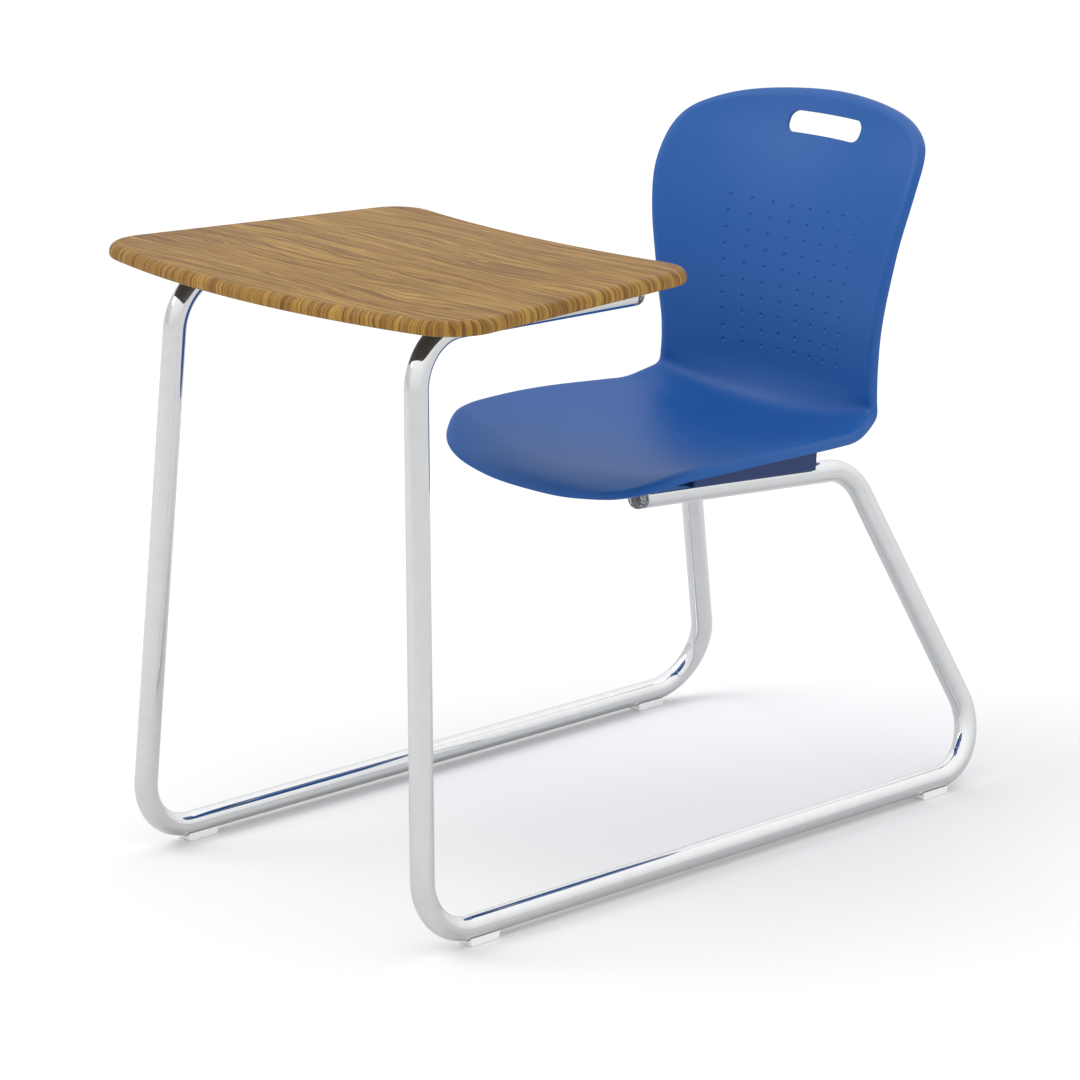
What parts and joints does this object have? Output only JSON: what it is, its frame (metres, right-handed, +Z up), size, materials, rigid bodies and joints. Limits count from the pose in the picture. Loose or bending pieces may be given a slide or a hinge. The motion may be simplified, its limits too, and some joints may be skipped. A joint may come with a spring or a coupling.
{
  "type": "student combo desk",
  "caption": "Sled-base student combo desk: moulded seat shell with a grip slot and a tapered writing top on two continuous bent chrome tubes.",
  "frame": {"origin": "on the floor, in the middle of the bounding box", "axes": "+Z up, the sitter faces -Y, so the writing top is at -Y and the chair back at +Y, and the sitter's left is +X"},
  "size_m": [0.634, 1.0118, 0.8615],
  "materials": {
    "chrome_tube": "bright chrome plate, mirror smooth",
    "blue_shell": "satin moulded polypropylene with a fine grain",
    "blue_mount": "moulded plastic in the shell's colour, unpolished",
    "oak_top": "golden oak grain, satin, dark brown underside",
    "clear_cap": "clear moulded plastic, polished",
    "white_glide": "white nylon, satin",
    "zinc_steel": "zinc-plated steel, dull bright"
  },
  "bodies": {
    "root": {"desk_crossbar_front": "zinc_steel", "desk_crossbar_rear": "zinc_steel", "desk_plate_left_front": "zinc_steel", "desk_plate_left_rear": "zinc_steel", "desk_plate_right_front": "zinc_steel", "desk_plate_right_rear": "zinc_steel", "desk_screw_left_front_1": "zinc_steel", "desk_screw_left_front_2": "zinc_steel", "desk_screw_left_rear_1": "zinc_steel", "desk_screw_left_rear_2": "zinc_steel", "desk_screw_right_front_1": "zinc_steel", "desk_screw_right_front_2": "zinc_steel", "desk_screw_right_rear_1": "zinc_steel", "desk_screw_right_rear_2": "zinc_steel", "desk_tube_cap_left": "clear_cap", "desk_tube_cap_right": "clear_cap", "desktop": "oak_top", "frame_tube_left": "chrome_tube", "frame_tube_right": "chrome_tube", "glide_rivet_left_front": "zinc_steel", "glide_rivet_left_rear": "zinc_steel", "glide_rivet_right_front": "zinc_steel", "glide_rivet_right_rear": "zinc_steel", "runner_glide_left_front": "white_glide", "runner_glide_left_rear": "white_glide", "runner_glide_right_front": "white_glide", "runner_glide_right_rear": "white_glide", "seat_crossbar_front": "zinc_steel", "seat_crossbar_rear": "zinc_steel", "seat_mount_left": "blue_mount", "seat_mount_right": "blue_mount", "seat_screw_left_front": "zinc_steel", "seat_screw_left_rear": "zinc_steel", "seat_screw_right_front": "zinc_steel", "seat_screw_right_rear": "zinc_steel", "seat_shell": "blue_shell", "seat_tube_cap_left": "clear_cap", "seat_tube_cap_right": "clear_cap"}
  },
  "joints": []
}
